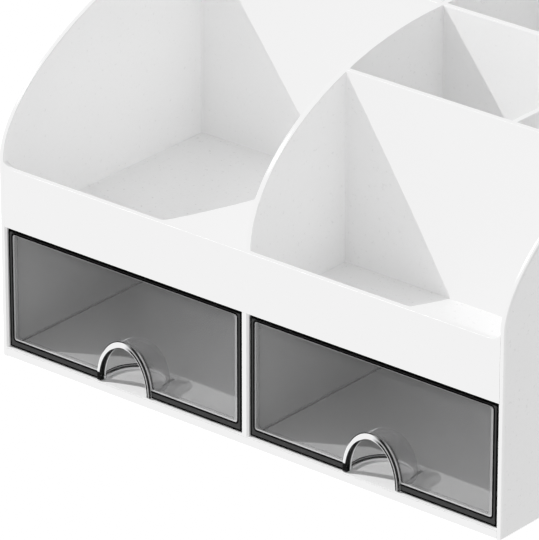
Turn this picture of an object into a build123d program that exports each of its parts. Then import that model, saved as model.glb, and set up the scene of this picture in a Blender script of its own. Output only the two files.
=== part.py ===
from build123d import *
import math
import os

# Desk organiser with a stepped tray on top and two clear drawers below.
# Frame: +Z up, front face towards -Y, origin on the resting plane under the
# middle of the case. Millimetres.

# ---- driving dimensions -------------------------------------------------
width = 260.0            # outside, side panel to side panel
depth = 195.0            # front edge to back face
case_h = 151.3           # underside of the case to the top of the rear walls
foot_h = 1.0             # pads under the case
wall = 2.5               # side, back, divider and cross walls
outer_r = 1.2            # rounding of the outside edges
rim_r = 0.5              # rounding of the free top edges

lip_z = 84.6             # top of the front lip
fascia_z = 58.0          # lower edge of the front band
deck_z = 58.9            # tray floor
deck_t = 1.4
base_t = 4.0             # plate that the drawers run over
groove_z = 3.35          # fine parting groove along its front edge
jamb_t = 0.6             # bevelled jambs beside the drawer faces: how far they stand in,
jamb_d = 2.2             # their depth
jamb_bevel = 0.8         # and bevel

lean_z = 88.9            # side panels: height at which the front edge starts to lean back,
lean_end_y = 116.5       # where it has become level, from the front,
lean_up = 25.0           # and how long it holds each direction
lean_back = 60.0
arc_z = 83.5             # centre divider: quarter-ellipse from here
arc_end_y = 120.0        # to here, from the front

wall1_y = 61.3           # front cross wall, from the front
wall1_z = 142.7
wall2_y = 123.3          # rear cross wall, from the front
wall2_z = 151.0
divider_z = 151.0        # top of the centre divider
lap_z = 105.0            # middle of the cross-lap of rear wall and divider
pen_x = 82.6             # left face of the short divider, from the centre line

drawer_set = 1.0         # drawer face behind the case face
drawer_side_gap = 0.95   # beside the face, to the panel; 0.35 to the jamb
drawer_low_gap = 0.5
drawer_top_gap = 0.3
drawer_rear_gap = 1.2
plate_t = 2.2            # clear face of the drawer, over its border
pane_in = 0.5            # the pane lies this far behind the border, with a sloping edge
rim_depth = 0.8          # border behind the face
drawer_wall = 2.3
drawer_floor = 2.0
box_in = 1.65            # side walls and floor of the box are this much narrower than the face
border_side = 2.45       # border of the face
border_top = 1.8
border_low = 3.5
border_r = 1.1

pull_a = 12.0            # finger recess: half width and height inside,
pull_b = 17.6
pull_run = 7.4           # straight depth before the rounded end
pull_t = 1.7             # wall
ring_a = 14.5            # ring round its mouth: half width and height outside, depth, rounding
ring_b = 20.7
ring_depth = 1.8
ring_r = 0.6
ring_out = 0.7           # ring stands this far out of the drawer face

pad_r = 7.0
pad_in_x = 18.0
pad_in_y = 18.0

# ---- placing helpers ----------------------------------------------------
y_front = -depth / 2
z_case = foot_h
hw = width / 2


def Y(from_front):
    return y_front + from_front


def Z(above_case):
    return z_case + above_case


def slab(x0, x1, y0, y1, z0, z1):
    return Pos((x0 + x1) / 2, (y0 + y1) / 2, (z0 + z1) / 2) * Box(x1 - x0, y1 - y0, z1 - z0)


def near(a, b, tol=1e-3):
    return abs(a - b) < tol


def edges_at(part, x=None, y=None, z=None, where=None):
    """Edges lying wholly in the given coordinate planes."""
    out = []
    for e in part.edges():
        ok = True
        for p in (e @ 0, e @ 0.5, e @ 1):
            if x is not None and not near(p.X, x):
                ok = False
            if y is not None and not near(p.Y, y):
                ok = False
            if z is not None and not near(p.Z, z):
                ok = False
        if ok and (where is None or where(e)):
            out.append(e)
    return out


# ---- side panels --------------------------------------------------------
def profile_face(lean, y_start, z_start, y_end, z_low, y_back, z_top):
    """Closed outline in the Y-Z plane: straight front edge, the leaning curve, level top."""
    low = (Y(y_start), Z(z_low))
    parts = [Line(low, (Y(y_start), Z(z_start))), lean, Line((Y(y_end), Z(z_top)), (Y(y_back), Z(z_top))),
             Line((Y(y_back), Z(z_top)), (Y(y_back), Z(z_low))), Line((Y(y_back), Z(z_low)), low)]
    return Plane.YZ * make_face(parts)


def upright(corners, z_low):
    """Flat outline at the given height, to be drawn upwards."""
    sides = [Line(a, b) for a, b in zip(corners, corners[1:] + corners[:1])]
    return Pos(0, 0, Z(z_low)) * make_face(sides)


def side_panel(side):
    lean = Bezier((Y(0), Z(lean_z)), (Y(0), Z(lean_z + lean_up)),
                  (Y(lean_end_y - lean_back), Z(case_h)), (Y(lean_end_y), Z(case_h)))
    body = extrude(profile_face(lean, 0.0, lean_z, lean_end_y, 0.0, depth, case_h), amount=wall)
    x0 = -hw if side < 0 else hw - wall
    body = Pos(x0, 0, 0) * body
    x_out = -hw if side < 0 else hw
    x_in = x_out + wall if side < 0 else x_out - wall
    body = fillet(edges_at(body, x=x_out), outer_r)
    free = edges_at(body, x=x_in, where=lambda e: (e @ 0.5).Z > Z(lean_z) + 1 and (e @ 0.5).Y < Y(depth) - 5)
    body = fillet(free, rim_r)
    x_jamb = x_in - side * jamb_t
    body += slab(min(x_in, x_jamb), max(x_in, x_jamb), Y(0), Y(jamb_d), Z(base_t), Z(fascia_z))
    corner = [(x_jamb + side * (jamb_bevel + 1), Y(-1)), (x_jamb - side, Y(jamb_bevel + 1)), (x_jamb - side, Y(-1))]
    return body - extrude(upright(corner, base_t), amount=fascia_z - base_t)


left_side_panel = side_panel(-1)
right_side_panel = side_panel(1)

# ---- back panel ---------------------------------------------------------
x_in = hw - wall
back_panel = slab(-x_in, x_in, Y(depth - wall), Y(depth), Z(0), Z(case_h))
back_panel = fillet(edges_at(back_panel, z=Z(case_h), where=lambda e: e.length > 50), rim_r)

# ---- front band with its lip -------------------------------------------
ear_r = 6.0
ear_turn = 55.0
ear_w = ear_r * math.sin(math.radians(ear_turn))
ear_h = ear_r * (1 - math.cos(math.radians(ear_turn)))
half = ear_turn / 2
mid_w = ear_r * (math.sin(math.radians(ear_turn)) - math.sin(math.radians(half)))
mid_h = ear_r * (1 - math.cos(math.radians(half)))
lz = Z(lip_z)
bz = Z(fascia_z)
left_ear = ThreePointArc((-x_in, lz + ear_h), (-x_in + mid_w, lz + mid_h), (-x_in + ear_w, lz))
right_ear = ThreePointArc((x_in - ear_w, lz), (x_in - mid_w, lz + mid_h), (x_in, lz + ear_h))
band = make_face([left_ear, Line((-x_in + ear_w, lz), (x_in - ear_w, lz)), right_ear,
                  Line((x_in, lz + ear_h), (x_in, bz)), Line((x_in, bz), (-x_in, bz)),
                  Line((-x_in, bz), (-x_in, lz + ear_h))])
front_fascia = extrude(Plane(origin=(0, Y(wall), 0), x_dir=(1, 0, 0), z_dir=(0, -1, 0)) * band, amount=wall)
top_edges = [e for yy in (Y(0), Y(wall)) for e in edges_at(front_fascia, y=yy, where=lambda e: (e @ 0.5).Z > lz - 0.1 and abs((e @ 0.5).X) < x_in - 0.2)]
front_fascia = fillet(top_edges, rim_r)
front_fascia = fillet(edges_at(front_fascia, y=Y(0), z=bz), 0.5)

# ---- tray floor, base, bay partition -----------------------------------
tray_deck = slab(-x_in, x_in, Y(wall), Y(depth - wall), Z(deck_z - deck_t), Z(deck_z))

base_plate = slab(-x_in, x_in, Y(0), Y(depth - wall), Z(0), Z(base_t))
base_plate = fillet(edges_at(base_plate, y=Y(0), z=Z(0)), 0.8)
base_plate -= slab(-x_in, x_in, Y(-1), Y(0.5), Z(groove_z), Z(groove_z + 0.3))

x_post = wall / 2 + jamb_t
post = [(-x_post, Y(jamb_d)), (-x_post, Y(jamb_bevel)), (-x_post + jamb_bevel, Y(0)),
        (x_post - jamb_bevel, Y(0)), (x_post, Y(jamb_bevel)), (x_post, Y(jamb_d))]
bay_partition = slab(-wall / 2, wall / 2, Y(jamb_d - 1), Y(depth - wall), Z(base_t), Z(deck_z - deck_t))
bay_partition += extrude(upright(post, base_t), amount=fascia_z - base_t)

# ---- dividers of the tray ----------------------------------------------
divider_lean = EllipticalCenterArc((Y(arc_end_y), Z(arc_z)), arc_end_y - wall, divider_z - arc_z,
                                   start_angle=90, arc_size=90)
centre_divider = Pos(-wall / 2, 0, 0) * extrude(
    profile_face(divider_lean, wall, arc_z, arc_end_y, deck_z, depth - wall, divider_z), amount=wall)
for xx in (-wall / 2, wall / 2):
    centre_divider = fillet(edges_at(
        centre_divider, x=xx, where=lambda e: (e @ 0.5).Z > Z(deck_z) + 1 and (e @ 0.5).Y < Y(depth - wall) - 5), rim_r)
centre_divider -= slab(-wall, wall, Y(wall2_y), Y(wall2_y + wall), Z(deck_z - 1), Z(lap_z))

front_cross_wall = slab(wall / 2, x_in, Y(wall1_y), Y(wall1_y + wall), Z(deck_z), Z(wall1_z))
front_cross_wall = fillet(edges_at(front_cross_wall, z=Z(wall1_z), where=lambda e: e.length > 20), rim_r)

rear_cross_wall = slab(-x_in, x_in, Y(wall2_y), Y(wall2_y + wall), Z(deck_z), Z(wall2_z))
rear_cross_wall = fillet(edges_at(rear_cross_wall, z=Z(wall2_z), where=lambda e: e.length > 20), rim_r)
rear_cross_wall -= slab(-wall / 2, wall / 2, Y(wall2_y - 1), Y(wall2_y + wall + 1), Z(lap_z), Z(wall2_z + 1))

pen_divider = slab(pen_x, pen_x + wall, Y(wall1_y + wall), Y(wall2_y), Z(deck_z), Z(wall1_z))
pen_divider = fillet(edges_at(pen_divider, z=Z(wall1_z), where=lambda e: e.length > 20), rim_r)

# ---- foot pads ----------------------------------------------------------
pads = []
for sx in (-1, 1):
    for yy in (pad_in_y, depth - pad_in_y):
        pad = Pos(sx * (hw - pad_in_x), Y(yy), foot_h / 2) * Cylinder(pad_r, foot_h)
        pad = chamfer(pad.edges().filter_by(GeomType.CIRCLE).sort_by(Axis.Z)[0], 0.3)
        pads.append(pad)
foot_pads = Compound(children=pads)

# ---- drawers ------------------------------------------------------------
dz0 = Z(base_t + drawer_low_gap)
dz1 = Z(deck_z - deck_t - drawer_top_gap)
dy0 = Y(drawer_set)
dy_rim = dy0 + plate_t + rim_depth
dy1 = Y(depth - wall - drawer_rear_gap)


recess_y = dy0 + pull_run            # where the straight tunnel turns into the rounded end
out_a, out_b = pull_a + pull_t, pull_b + pull_t


def on_arch(xc, y=recess_y):
    return Plane(origin=(xc, y, dz0), x_dir=(1, 0, 0), z_dir=(0, -1, 0))


def quarter(a, b, side=1):
    """Quarter of an ellipse from the foot (side*a, 0) to the crown (0, b)."""
    k = 0.5523
    return Bezier((side * a, 0), (side * a, k * b), (side * k * a, b), (0, b))


def arch_face(a, b, hole=None):
    """Half ellipse standing on its foot line; with hole, only the band outside it."""
    edges = [quarter(a, b), quarter(a, b, -1)]
    if hole is None:
        edges.append(Line((-a, 0), (a, 0)))
    else:
        ha, hb = hole
        edges += [Line((-a, 0), (-ha, 0)), quarter(ha, hb, -1), quarter(ha, hb), Line((ha, 0), (a, 0))]
    return make_face(edges)


def end_face(a, b, hole=None):
    """Half of the same outline, to turn about the upright axis."""
    if hole is None:
        return make_face([quarter(a, b), Line((0, b), (0, 0)), Line((0, 0), (a, 0))])
    ha, hb = hole
    return make_face([quarter(a, b), Line((0, b), (0, hb)), quarter(ha, hb), Line((ha, 0), (a, 0))])


def turned(xc, outline):
    return revolve(on_arch(xc) * outline, axis=Axis((xc, recess_y, 0), (0, 0, 1)), revolution_arc=180)


def recess_block(xc, y_start):
    """Solid tunnel with a rounded end, as large as the recess is outside."""
    return extrude(on_arch(xc) * arch_face(out_a, out_b), amount=recess_y - y_start) + turned(xc, end_face(out_a, out_b))


def ring_block(xc):
    return extrude(on_arch(xc, dy0 + ring_depth) * arch_face(ring_a, ring_b), amount=ring_depth + 3)


def recess_shell(xc):
    """The wall of the recess with the ring round its mouth, open to the front and below."""
    hole = (pull_a, pull_b)
    ring = extrude(on_arch(xc, dy0 + ring_depth) * arch_face(ring_a, ring_b, hole), amount=ring_depth + ring_out)
    ring = fillet(edges_at(ring, y=dy0 - ring_out, where=lambda e: e.length > 5), ring_r)
    run = extrude(on_arch(xc) * arch_face(out_a, out_b, hole), amount=pull_run - ring_depth)
    return ring + run + turned(xc, end_face(out_a, out_b, hole))


def drawer(side):
    xa, xb = wall / 2 + drawer_side_gap, x_in - drawer_side_gap
    if side < 0:
        xa, xb = -xb, -xa
    xc = (xa + xb) / 2
    parts = {}

    # clear face with a border standing behind it
    face = slab(xa, xb, dy0, dy_rim, dz0, dz1)
    win_x = (xb - xa) - 2 * border_side
    win_z = (dz1 - border_top) - (dz0 + border_low)
    win_mid = (dz1 - border_top + dz0 + border_low) / 2
    win = Plane(origin=(xc, dy0 + plate_t, win_mid),
                x_dir=(1, 0, 0), z_dir=(0, 1, 0)) * RectangleRounded(win_x, win_z, border_r)
    face -= extrude(win, amount=rim_depth + 1)
    pane = Plane(origin=(xc, dy0, win_mid),
                 x_dir=(1, 0, 0), z_dir=(0, 1, 0)) * RectangleRounded(win_x, win_z, border_r)
    face -= extrude(pane, amount=pane_in, taper=52)
    face = fillet(edges_at(face, y=dy0, where=lambda e: e.length > border_top * 4 and (near(abs((e @ 0.5).X - xc), (xb - xa) / 2) or near((e @ 0.5).Z, dz0) or near((e @ 0.5).Z, dz1))), 0.4)
    face -= ring_block(xc)
    face -= recess_block(xc, dy0)
    parts["face"] = face

    # finger recess shell, its ring standing a little out of the face
    parts["pull"] = recess_shell(xc)

    xa, xb = xa + box_in, xb - box_in
    floor = slab(xa, xb, dy_rim, dy1, dz0, dz0 + drawer_floor)
    parts["floor"] = floor - recess_block(xc, dy0)

    z_up = dz0 + drawer_floor
    z_top = dz1 - 0.5
    lw = slab(xa, xa + drawer_wall, dy_rim, dy1, z_up, z_top)
    rw = slab(xb - drawer_wall, xb, dy_rim, dy1, z_up, z_top)
    bw = slab(xa + drawer_wall, xb - drawer_wall, dy1 - drawer_wall, dy1, z_up, z_top)
    parts["left_wall"] = lw
    parts["right_wall"] = rw
    parts["back_wall"] = bw
    return parts


nodes = {
    "left_side_panel": left_side_panel,
    "right_side_panel": right_side_panel,
    "back_panel": back_panel,
    "front_fascia": front_fascia,
    "tray_deck": tray_deck,
    "base_plate": base_plate,
    "bay_partition": bay_partition,
    "centre_divider": centre_divider,
    "front_cross_wall": front_cross_wall,
    "rear_cross_wall": rear_cross_wall,
    "pen_divider": pen_divider,
    "foot_pads": foot_pads,
}
for name, side in (("left", -1), ("right", 1)):
    for key, solid in drawer(side).items():
        nodes[f"{name}_drawer_{key}"] = solid

os.makedirs("parts", exist_ok=True)
for name, solid in nodes.items():
    export_step(solid, f"parts/{name}.step")
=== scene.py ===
import math

import bpy
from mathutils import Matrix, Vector

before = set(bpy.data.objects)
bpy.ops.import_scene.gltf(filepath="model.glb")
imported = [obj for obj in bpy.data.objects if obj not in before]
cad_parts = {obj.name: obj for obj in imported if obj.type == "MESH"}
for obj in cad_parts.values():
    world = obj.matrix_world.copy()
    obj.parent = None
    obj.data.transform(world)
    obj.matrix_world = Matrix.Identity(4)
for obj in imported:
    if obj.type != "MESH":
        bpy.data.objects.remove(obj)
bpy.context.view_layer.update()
scene = bpy.context.scene

# ---------------------------------------------------------------- dimensions (metres)
DRAWER_X = 0.064375        # middle of each drawer, left and right of the centre line
FACE_Y = -0.0965           # front plane of the drawer borders
HALF_X = 0.062175          # half width of a drawer face
Z_LOW, Z_HIGH = 0.0055, 0.0582
BORDER_SIDE, BORDER_TOP, BORDER_LOW = 0.00245, 0.0018, 0.0035
CORNER_R = 0.0011
PANE_SLOPE = 0.00064
FLOOR_TOP = 0.0075         # top of the drawer floor
RING_Y = -0.0972           # front plane of the ring round the finger recess
RING_A, RING_B = 0.0120, 0.0176
SHELL_A, SHELL_B = 0.0137, 0.0193     # outside of the recess behind the ring
TURN_Y = -0.0891           # where the recess starts to round off
RING_BAND = 0.190          # width of the ring, as a share of its half axes


# share of the light that one clear surface holds back, its own grey, and its gloss
CLEAR = {"face": 0.145, "pull": 0.140, "floor": 0.130, "side": 0.150, "back": 0.170}
TONE = {"face": 0.32, "pull": 0.30, "floor": 0.26, "side": 0.31, "back": 0.29}
SPECULAR = {"face": 0.0, "pull": 0.03, "floor": 0.2, "side": 0.2, "back": 0.2}


# ---------------------------------------------------------------- node helpers
class Tree:
    def __init__(self, name):
        self.mat = bpy.data.materials.new(name)
        self.mat.use_nodes = True
        self.nt = self.mat.node_tree
        self.nt.nodes.clear()
        self.out = self.nt.nodes.new("ShaderNodeOutputMaterial")

    def node(self, kind, **props):
        n = self.nt.nodes.new(kind)
        for key, value in props.items():
            setattr(n, key, value)
        return n

    def link(self, a, b):
        self.nt.links.new(a, b)

    def put(self, socket, value):
        if hasattr(value, "is_output"):
            self.link(value, socket)
        else:
            socket.default_value = value

    def math(self, op, a, b=None, c=None, clamp=False):
        n = self.node("ShaderNodeMath", operation=op, use_clamp=clamp)
        self.put(n.inputs[0], a)
        if b is not None:
            self.put(n.inputs[1], b)
        if c is not None:
            self.put(n.inputs[2], c)
        return n.outputs[0]

    def step(self, value, low, high):
        """0 below low, 1 above high."""
        n = self.node("ShaderNodeMapRange", interpolation_type="SMOOTHSTEP")
        self.put(n.inputs["Value"], value)
        n.inputs["From Min"].default_value = low
        n.inputs["From Max"].default_value = high
        return n.outputs["Result"]

    def ramp_between(self, value, low, high, to_low, to_high):
        n = self.node("ShaderNodeMapRange")
        self.put(n.inputs["Value"], value)
        n.inputs["From Min"].default_value = low
        n.inputs["From Max"].default_value = high
        n.inputs["To Min"].default_value = to_low
        n.inputs["To Max"].default_value = to_high
        return n.outputs["Result"]

    def mix(self, factor, a, b):
        """Blend of two numbers."""
        n = self.node("ShaderNodeMix", data_type="FLOAT")
        self.put(n.inputs[0], factor)
        self.put(n.inputs[2], a)
        self.put(n.inputs[3], b)
        return n.outputs[0]

    def grey(self, value):
        n = self.node("ShaderNodeCombineColor")
        for k in range(3):
            self.put(n.inputs[k], value)
        return n.outputs[0]

    def tinted(self, value, tint):
        n = self.node("ShaderNodeCombineColor")
        for k in range(3):
            self.put(n.inputs[k], self.math("MULTIPLY", value, tint[k]))
        return n.outputs[0]

    def noise(self, vector, scale, detail=2.0, rough=0.5):
        n = self.node("ShaderNodeTexNoise")
        self.link(vector, n.inputs["Vector"])
        n.inputs["Scale"].default_value = scale
        n.inputs["Detail"].default_value = detail
        n.inputs["Roughness"].default_value = rough
        return n.outputs["Fac"]

    def place(self):
        """Object coordinates, their parts, and the object-space normal's parts."""
        tc = self.node("ShaderNodeTexCoord")
        p = self.node("ShaderNodeSeparateXYZ")
        self.link(tc.outputs["Object"], p.inputs[0])
        n = self.node("ShaderNodeSeparateXYZ")
        self.link(tc.outputs["Normal"], n.inputs[0])
        return tc.outputs["Object"], p.outputs, n.outputs

    def bump(self, height, strength, distance):
        b = self.node("ShaderNodeBump")
        b.inputs["Strength"].default_value = strength
        b.inputs["Distance"].default_value = distance
        self.link(height, b.inputs["Height"])
        return b.outputs["Normal"]

    def principled(self, **values):
        p = self.node("ShaderNodeBsdfPrincipled")
        for key, value in values.items():
            self.put(p.inputs[key.replace("_", " ")], value)
        self.link(p.outputs[0], self.out.inputs["Surface"])
        return p


# ---------------------------------------------------------------- materials
def white_plastic():
    t = Tree("white_satin_plastic")
    pos, p, n = t.place()
    cloud = t.noise(pos, 22.0, 3.0)
    fine = t.noise(pos, 1500.0, 2.0)
    grain = t.noise(pos, 620.0, 3.0, 0.6)
    value = t.ramp_between(cloud, 0.3, 0.7, 0.912, 0.926)
    speck = t.ramp_between(grain, 0.3, 0.7, -0.006, 0.006)
    value = t.math("ADD", value, speck)
    rough = t.ramp_between(grain, 0.25, 0.75, 0.26, 0.34)
    height = t.math("ADD", t.math("MULTIPLY", fine, 0.6), t.math("MULTIPLY", grain, 0.4))
    t.principled(Base_Color=t.grey(value), Roughness=rough,
                 Normal=t.bump(height, 0.05, 0.00008), IOR=1.52)
    return t.mat


def smoke(name, kind):
    """Smoky clear plastic. Thin walls pass most of the light; cut edges and the border of the face are painted dark, a
    painted shade for the light that runs along the sheet there, and the branches below add painted highlights and
    painted shade lines."""
    t = Tree(name)
    pos, p, n = t.place()
    x, y, z = p[0], p[1], p[2]
    nx, ny, nz = (t.math("ABSOLUTE", c) for c in n[:3])
    swirl = t.noise(pos, 45.0, 3.0)
    fine = t.noise(pos, 700.0, 2.0)
    clear = t.ramp_between(swirl, 0.3, 0.7, CLEAR[kind] - 0.008, CLEAR[kind] + 0.008)
    tone = t.ramp_between(swirl, 0.3, 0.7, TONE[kind] - 0.006, TONE[kind] + 0.006)
    rough = t.ramp_between(fine, 0.25, 0.75, 0.07, 0.13)
    if kind == "face":
        u = t.math("SUBTRACT", x, t.math("MULTIPLY", t.math("SIGN", x), DRAWER_X))
        au = t.math("ABSOLUTE", u)
        mid = (Z_LOW + BORDER_LOW + Z_HIGH - BORDER_TOP) / 2
        half_z = (Z_HIGH - BORDER_TOP - Z_LOW - BORDER_LOW) / 2
        aw = t.math("ABSOLUTE", t.math("SUBTRACT", z, mid))
        qx = t.math("SUBTRACT", au, HALF_X - BORDER_SIDE - CORNER_R)
        qz = t.math("SUBTRACT", aw, half_z - CORNER_R)
        outx, outz = t.math("MAXIMUM", qx, 0.0), t.math("MAXIMUM", qz, 0.0)
        far = t.math("SQRT", t.math("ADD", t.math("MULTIPLY", outx, outx), t.math("MULTIPLY", outz, outz)))
        near = t.math("MINIMUM", t.math("MAXIMUM", qx, qz), 0.0)
        d = t.math("SUBTRACT", t.math("ADD", far, near), CORNER_R)          # >0 in the border
        ex = t.math("SUBTRACT", HALF_X, au)
        ez = t.math("MINIMUM", t.math("SUBTRACT", z, Z_LOW), t.math("SUBTRACT", Z_HIGH, z))
        e = t.math("MINIMUM", ex, ez)                                        # from the outer edge
        front = t.math("LESS_THAN", y, FACE_Y + 0.0012)
        # painted shade: the border band and the drawer's sides out in the gap are painted dark and nearly opaque
        border = t.math("MULTIPLY", t.step(d, -0.00003, 0.00006), front)
        # painted highlight: the bevel round the pane is painted light grey and partly opaque, so it shows as a bright
        # line
        slope_highlight = t.math("MULTIPLY", t.math("MULTIPLY", t.step(d, -0.00046, -0.00040),
                                          t.math("SUBTRACT", 1.0, t.step(d, -0.00003, 0.00006))), front)
        outside = t.math("MULTIPLY", t.step(t.math("MULTIPLY", e, -1.0), -0.00006, -0.00002), front)
        dark = t.math("MAXIMUM", border, outside)
        # painted light: towards its right end the sheet is painted lighter and holds back more, for the light it
        # catches there
        clear = t.math("ADD", clear, t.ramp_between(u, 0.0, 0.060, 0.0, 0.075))
        tone = t.math("ADD", tone, t.ramp_between(u, 0.0, 0.060, 0.08, 0.20))
        # painted shade: two black lines with dark grey between them, the outer one a painted shadow of the gap
        inner_line = t.math("SUBTRACT", 1.0, t.step(d, 0.00070, 0.00100))
        outer_line = t.math("SUBTRACT", 1.0, t.step(e, 0.00070, 0.00100))
        lines = t.math("MAXIMUM", inner_line, outer_line)
        dark_tone = t.mix(lines, 0.055, 0.0015)
        # painted highlight: the right-hand bevel is turned away, and its light is painted as a bright line on the pane
        right = t.math("MULTIPLY", t.step(d, -0.00150, -0.00130), t.math("SUBTRACT", 1.0, t.step(d, -0.00046, -0.00040)))
        right = t.math("MULTIPLY", right, t.step(u, HALF_X - BORDER_SIDE - 0.0022, HALF_X - BORDER_SIDE - 0.0018))
        right = t.math("MULTIPLY", right, t.math("LESS_THAN", y, FACE_Y + 0.0012))
        slope_highlight = t.math("MAXIMUM", slope_highlight, t.math("MULTIPLY", right, 0.75))
        tone = t.mix(slope_highlight, tone, 0.62)
        tone = t.mix(dark, tone, dark_tone)
        hold = t.mix(slope_highlight, clear, 0.62)
        hold = t.mix(dark, hold, 0.985)
    elif kind == "pull":
        side = t.math("SIGN", x)
        u = t.math("SUBTRACT", x, t.math("MULTIPLY", side, DRAWER_X))
        w = t.math("SUBTRACT", z, Z_LOW)
        ue, we = t.math("DIVIDE", u, RING_A), t.math("DIVIDE", w, RING_B)
        q = t.math("SQRT", t.math("ADD", t.math("MULTIPLY", ue, ue), t.math("MULTIPLY", we, we)))
        across = t.math("DIVIDE", t.math("SUBTRACT", q, 1.0), RING_BAND)     # 0 inner edge, 1 outer edge
        lean = t.math("DIVIDE", ue, q)                                       # -1 left foot, 0 crown, 1 right foot
        behind = t.math("SUBTRACT", y, RING_Y)
        front = t.math("MULTIPLY", t.math("SUBTRACT", 1.0, t.step(behind, 0.0004, 0.0007)), t.step(across, 0.02, 0.08))
        # painted highlight and painted shade: lines that the light draws along the right leg are painted as light and
        # dark bands, with painted white glare on the left of the crown
        glare = t.math("SUBTRACT", 1.0, t.step(lean, 0.0, 0.38))
        ring_tone = t.mix(t.step(across, 0.18, 0.22), 0.92, 0.004)
        ring_tone = t.mix(t.step(across, 0.48, 0.52), ring_tone, 0.42)
        ring_tone = t.mix(t.step(across, 0.70, 0.74), ring_tone, 0.004)
        ring_tone = t.mix(glare, ring_tone, 0.97)
        # the painted glare is a crescent: it thins out down the left leg, with a painted dark line round its outside
        edge = t.ramp_between(lean, -0.97, -0.40, 0.46, 0.12)
        edge = t.math("MULTIPLY", edge, t.math("SUBTRACT", 1.0, t.step(lean, 0.0, 0.25)))
        ring_tone = t.mix(t.step(t.math("SUBTRACT", across, edge), -0.05, 0.05), 0.004, ring_tone)
        outline = t.math("MULTIPLY", t.step(across, 0.80, 0.87), t.step(lean, -0.90, -0.70))
        ring_tone = t.mix(t.math("MULTIPLY", outline, glare), ring_tone, 0.01)
        # painted shade: the ring's left foot is painted dark
        left_foot = t.math("MULTIPLY", t.math("SUBTRACT", 1.0, t.step(w, 0.0034, 0.0040)), t.math("LESS_THAN", lean, 0.0))
        ring_tone = t.mix(left_foot, ring_tone, 0.004)
        # painted highlight and painted shade: round the ring's outside a light band and a dark line behind it
        outer = t.step(across, 0.94, 0.99)
        rim_end = t.math("SUBTRACT", 1.0, t.step(behind, 0.0024, 0.0027))
        rim = t.math("MULTIPLY", outer, rim_end)
        rim_tone = t.mix(t.step(behind, 0.0013, 0.0016), 0.80, 0.003)
        # painted shade: the plate's cut edge seen through the mouth, painted dark on the ring's inside near the front,
        # with a painted bright line behind it
        inside = t.math("SUBTRACT", 1.0, t.step(across, 0.06, 0.14))
        mouth = t.math("MULTIPLY", inside, t.math("SUBTRACT", 1.0, t.step(behind, 0.0018, 0.0021)))
        mouth = t.math("MULTIPLY", mouth, t.math("SUBTRACT", 1.0, t.step(lean, 0.10, 0.45)))
        mouth_line = t.math("MULTIPLY", inside, t.math("MULTIPLY", t.step(behind, 0.0020, 0.0022),
                                                       t.math("SUBTRACT", 1.0, t.step(behind, 0.0028, 0.0031))))
        # painted highlight: a faint bright line over the back of the shell, along its edge as seen from one fixed
        # direction
        us, ws = t.math("DIVIDE", u, SHELL_A), t.math("DIVIDE", w, SHELL_B)
        ys = t.math("DIVIDE", t.math("MAXIMUM", t.math("SUBTRACT", y, TURN_Y), 0.0), SHELL_A)
        flat = t.math("ADD", t.math("MULTIPLY", us, us), t.math("MULTIPLY", ys, ys))
        shell = t.step(t.math("SQRT", t.math("ADD", flat, t.math("MULTIPLY", ws, ws))), 0.95, 0.97)
        arc = t.math("ADD", t.math("MULTIPLY", us, 0.583), t.math("SUBTRACT", t.math("MULTIPLY", ws, 0.310), t.math("MULTIPLY", ys, 0.695)))
        arc = t.math("SUBTRACT", 1.0, t.step(t.math("ABSOLUTE", arc), 0.05, 0.12))
        over = t.math("SUBTRACT", 1.0, t.step(t.math("ABSOLUTE", t.math("ADD", lean, 0.36)), 0.07, 0.11))
        over = t.math("MULTIPLY", over, t.math("SUBTRACT", 1.0, t.step(y, TURN_Y + 0.002, TURN_Y + 0.004)))
        arc = t.math("MAXIMUM", arc, over)
        arc = t.math("MULTIPLY", arc, t.math("MULTIPLY", shell, t.step(behind, 0.0030, 0.0034)))
        # painted highlight: the flat faces at the shell's foot are painted light
        foot = t.math("MULTIPLY", t.step(nz, 0.9, 0.98), t.math("LESS_THAN", z, Z_LOW + 0.0002))
        # painted highlight: a bright line along its foot inside
        ur, yr = t.math("DIVIDE", u, RING_A), t.math("DIVIDE", t.math("MAXIMUM", t.math("SUBTRACT", y, TURN_Y), 0.0), RING_A)
        round_in = t.math("ADD", t.math("MULTIPLY", ur, ur), t.math("MULTIPLY", yr, yr))
        round_in = t.math("SQRT", t.math("ADD", round_in, t.math("MULTIPLY", we, we)))
        foot_line = t.math("MULTIPLY", t.math("SUBTRACT", 1.0, t.step(round_in, 1.03, 1.06)), t.math("SUBTRACT", 1.0, t.step(w, 0.0009, 0.0012)))
        foot_line = t.math("MULTIPLY", foot_line, t.step(behind, 0.0030, 0.0040))
        # painted shade: its right-hand side is turned from the light, so it is painted darker and holds back more,
        # which hides the bright floor behind it
        shade = t.math("MULTIPLY", t.step(u, 0.0015, 0.0070), t.math("MULTIPLY", shell, t.step(behind, 0.0028, 0.0032)))
        tone = t.mix(shade, tone, 0.25)
        hold = t.mix(shade, clear, 0.50)
        tone = t.mix(arc, tone, 0.85)
        hold = t.mix(arc, hold, 0.80)
        tone = t.mix(mouth_line, tone, 0.95)
        hold = t.mix(mouth_line, hold, 0.85)
        tone = t.mix(mouth, tone, 0.004)
        hold = t.mix(mouth, hold, 0.985)
        # painted shade: a dark band low on the shell's right side, towards its back
        stand = t.math("MULTIPLY", t.step(w, 0.0019, 0.0021), t.math("SUBTRACT", 1.0, t.step(w, 0.0026, 0.0029)))
        stand = t.math("MULTIPLY", stand, t.math("MULTIPLY", shell, t.step(u, 0.0085, 0.0100)))
        stand = t.math("MULTIPLY", stand, t.step(y, -0.0895, -0.0880))
        tone = t.mix(stand, tone, 0.01)
        hold = t.mix(stand, hold, 0.90)
        tone = t.mix(foot_line, tone, 0.95)
        hold = t.mix(foot_line, hold, 0.95)
        tone = t.mix(rim, tone, rim_tone)
        hold = t.mix(rim, hold, 0.93)
        tone = t.mix(front, tone, ring_tone)
        hold = t.mix(front, hold, 0.94)
        tone = t.mix(foot, tone, 0.85)
        hold = t.mix(foot, hold, 0.60)
    elif kind == "floor":
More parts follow.
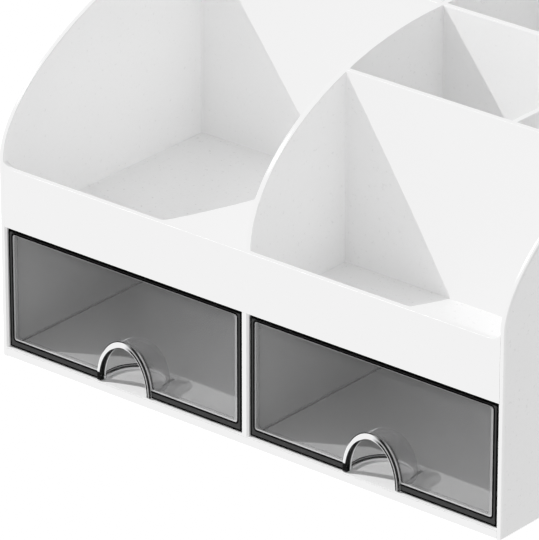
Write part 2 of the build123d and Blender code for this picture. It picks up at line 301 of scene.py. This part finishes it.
        # painted shade: the notch round the finger recess shows its cut edge, painted as two black lines with mid grey
        # between; the front edge is out of sight
        cut = t.math("SUBTRACT", 1.0, t.step(nz, 0.5, 0.8))
        u = t.math("SUBTRACT", x, t.math("MULTIPLY", t.math("SIGN", x), DRAWER_X))
        cut = t.math("MULTIPLY", cut, t.math("LESS_THAN", t.math("ABSOLUTE", u), SHELL_A + 0.0003))
        cut = t.math("MULTIPLY", cut, t.math("LESS_THAN", y, TURN_Y + SHELL_A + 0.0006))
        cut = t.math("MULTIPLY", cut, t.math("SUBTRACT", 1.0, t.step(u, -0.0050, -0.0020)))
        cut_lines = t.math("MAXIMUM", t.math("SUBTRACT", 1.0, t.step(z, Z_LOW + 0.0010, Z_LOW + 0.0013)), t.step(z, FLOOR_TOP - 0.0007, FLOOR_TOP - 0.0004))
        tone = t.mix(cut, tone, t.mix(cut_lines, 0.50, 0.002))
        hold = t.mix(cut, clear, 0.97)
        top = t.math("MULTIPLY", t.step(nz, 0.9, 0.98), t.step(z, FLOOR_TOP - 0.0003, FLOOR_TOP - 0.0001))
        # painted shadow and painted highlight: a dark line next to the recess's right foot and a bright line farther
        # back, on the floor's top
        beside_shadow = t.math("LESS_THAN", t.math("ABSOLUTE", t.math("SUBTRACT", u, 0.0124)), 0.0008)
        beside_shadow = t.math("MULTIPLY", beside_shadow, t.math("MULTIPLY", t.step(y, -0.0875, -0.0860), t.math("SUBTRACT", 1.0, t.step(y, -0.0808, -0.0796))))
        beside_shadow = t.math("MULTIPLY", beside_shadow, top)
        beyond_glint = t.math("LESS_THAN", t.math("ABSOLUTE", t.math("ADD", y, 0.0786)), 0.0007)
        beyond_glint = t.math("MULTIPLY", beyond_glint, t.math("MULTIPLY", t.step(u, 0.0075, 0.0085), t.math("SUBTRACT", 1.0, t.step(u, 0.0125, 0.0135))))
        beyond_glint = t.math("MULTIPLY", beyond_glint, top)
        tone = t.mix(beyond_glint, t.mix(beside_shadow, tone, 0.006), 0.95)
        hold = t.math("MAXIMUM", hold, t.math("MAXIMUM", t.math("MULTIPLY", beside_shadow, 0.97), t.math("MULTIPLY", beyond_glint, 0.90)))
    elif kind == "side":
        # painted shade: a dark line along the foot of the walls, where they meet the floor
        inner = t.math("LESS_THAN", t.math("ABSOLUTE", t.math("SUBTRACT", t.math("ABSOLUTE", x), DRAWER_X)), HALF_X - 0.0030)
        corner_shade = t.math("MULTIPLY", t.step(nx, 0.5, 0.8), t.math("SUBTRACT", 1.0, t.step(z, FLOOR_TOP + 0.0003, FLOOR_TOP + 0.0015)))
        corner_shade = t.math("MULTIPLY", corner_shade, inner)
        tone = t.mix(corner_shade, tone, 0.01)
        hold = t.mix(corner_shade, clear, 0.90)
    else:
        hold = clear
    t.principled(Base_Color=t.tinted(tone, (1.0, 1.0, 1.01)), Roughness=rough, Alpha=hold,
                 Normal=t.bump(fine, 0.03, 0.00004), IOR=1.49, Specular_IOR_Level=SPECULAR[kind])
    return t.mat


def rubber():
    t = Tree("foot_rubber")
    pos, p, n = t.place()
    grain = t.noise(pos, 1100.0, 3.0, 0.6)
    value = t.ramp_between(grain, 0.25, 0.75, 0.16, 0.21)
    t.principled(Base_Color=t.grey(value), Roughness=t.ramp_between(grain, 0.25, 0.75, 0.72, 0.86),
                 Normal=t.bump(grain, 0.25, 0.00015), IOR=1.5)
    return t.mat


WHITE = white_plastic()
RUBBER = rubber()
SMOKE = {kind: smoke("smoke_" + kind, kind) for kind in ("face", "pull", "floor", "side", "back")}
KINDS = {"face": "face", "pull": "pull", "floor": "floor", "left_wall": "side", "right_wall": "side", "back_wall": "back"}


def dress(node, material):
    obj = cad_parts[node]
    obj.data.materials.clear()
    obj.data.materials.append(material)
    return obj


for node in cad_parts:
    if node == "foot_pads":
        obj, slot = dress(node, RUBBER), "rubber"
    elif "_drawer_" in node:
        obj, slot = dress(node, SMOKE[KINDS[node.split("_drawer_")[1]]]), "smoke_plastic"
    else:
        obj, slot = dress(node, WHITE), "white_plastic"

# ---------------------------------------------------------------- floor
me = bpy.data.meshes.new("floor")
me.from_pydata([(-6, -6, 0), (6, -6, 0), (6, 6, 0), (-6, 6, 0)], [], [(0, 1, 2, 3)])
floor = bpy.data.objects.new("floor", me)
scene.collection.objects.link(floor)
ft = Tree("pale_floor")
# as in a cut-out product picture, the floor is whitened only outside the object: through the
# smoky plastic it counts as an ordinary pale floor
ray = ft.node("ShaderNodeLightPath")
glow = ft.ramp_between(ray.outputs["Transparent Depth"], 0.0, 1.0, 1.45, 0.55)
ft.principled(Base_Color=(0.1, 0.1, 0.1, 1), Roughness=0.9, Emission_Color=(1, 1, 1, 1), Emission_Strength=glow)
me.materials.append(ft.mat)
floor.visible_diffuse = False        # the studio light alone lights the object from below

# ---------------------------------------------------------------- light
world = bpy.data.worlds.new("studio")
world.use_nodes = True
wn = world.node_tree.nodes
wl = world.node_tree.links
way = wn.new("ShaderNodeTexCoord")
part = wn.new("ShaderNodeSeparateXYZ")
wl.new(way.outputs["Generated"], part.inputs[0])
up = wn.new("ShaderNodeMapRange")            # a little less light from straight above
up.inputs["From Min"].default_value = 0.25
up.inputs["From Max"].default_value = 1.0
up.inputs["To Min"].default_value = 0.695
up.inputs["To Max"].default_value = 0.56
wl.new(part.outputs["Z"], up.inputs["Value"])
ahead = wn.new("ShaderNodeMath")             # and from the front
ahead.operation = "MULTIPLY_ADD"
ahead.inputs[1].default_value = -0.15
wl.new(part.outputs["Y"], ahead.inputs[0])
wl.new(up.outputs["Result"], ahead.inputs[2])
wl.new(ahead.outputs[0], wn["Background"].inputs["Strength"])
wn["Background"].inputs["Color"].default_value = (1, 1, 1, 1)
scene.world = world

key = bpy.data.lights.new("key", "SUN")
key.energy = 2.4
key.angle = math.radians(0.8)
key_obj = bpy.data.objects.new("key", key)
scene.collection.objects.link(key_obj)
key_obj.rotation_euler = Vector((1.0, 0.575, -1.25)).to_track_quat("-Z", "Y").to_euler()

# ---------------------------------------------------------------- camera
cam = bpy.data.cameras.new("camera")
cam.sensor_fit = "HORIZONTAL"
cam.sensor_width = 36.0
cam.lens = 36.0 * 6006.57 / 539.0
cam.clip_start = 0.1
cam.clip_end = 50.0
cam_obj = bpy.data.objects.new("camera", cam)
scene.collection.objects.link(cam_obj)
cam_obj.location = (1.3845, -1.7348, 1.0708)
cam_obj.rotation_euler = (math.radians(90.0 - 24.85), 0.0, math.radians(39.95))
scene.camera = cam_obj

scene.view_settings.view_transform = "Standard"
scene.view_settings.look = "None"
# soft shoulder, so that sunlit white plastic stays just below the white of the floor
WHITE_LEVEL = 1.5
shoulder = scene.view_settings.curve_mapping
scene.view_settings.use_curve_mapping = True
shoulder.white_level = (WHITE_LEVEL, WHITE_LEVEL, WHITE_LEVEL)
shoulder.extend = "HORIZONTAL"
curve = shoulder.curves[3]
for level, shown in ((0.35, 0.35), (0.70, 0.70), (0.92, 0.880), (1.18, 0.905), (1.23, 0.915), (1.36, 0.995)):
    curve.points.new(level / WHITE_LEVEL, shown)
for point in curve.points:
    point.handle_type = "VECTOR"
shoulder.update()
# white walls pass light on many times
scene.cycles.max_bounces = 24
scene.cycles.diffuse_bounces = 12
scene.cycles.transparent_max_bounces = 32
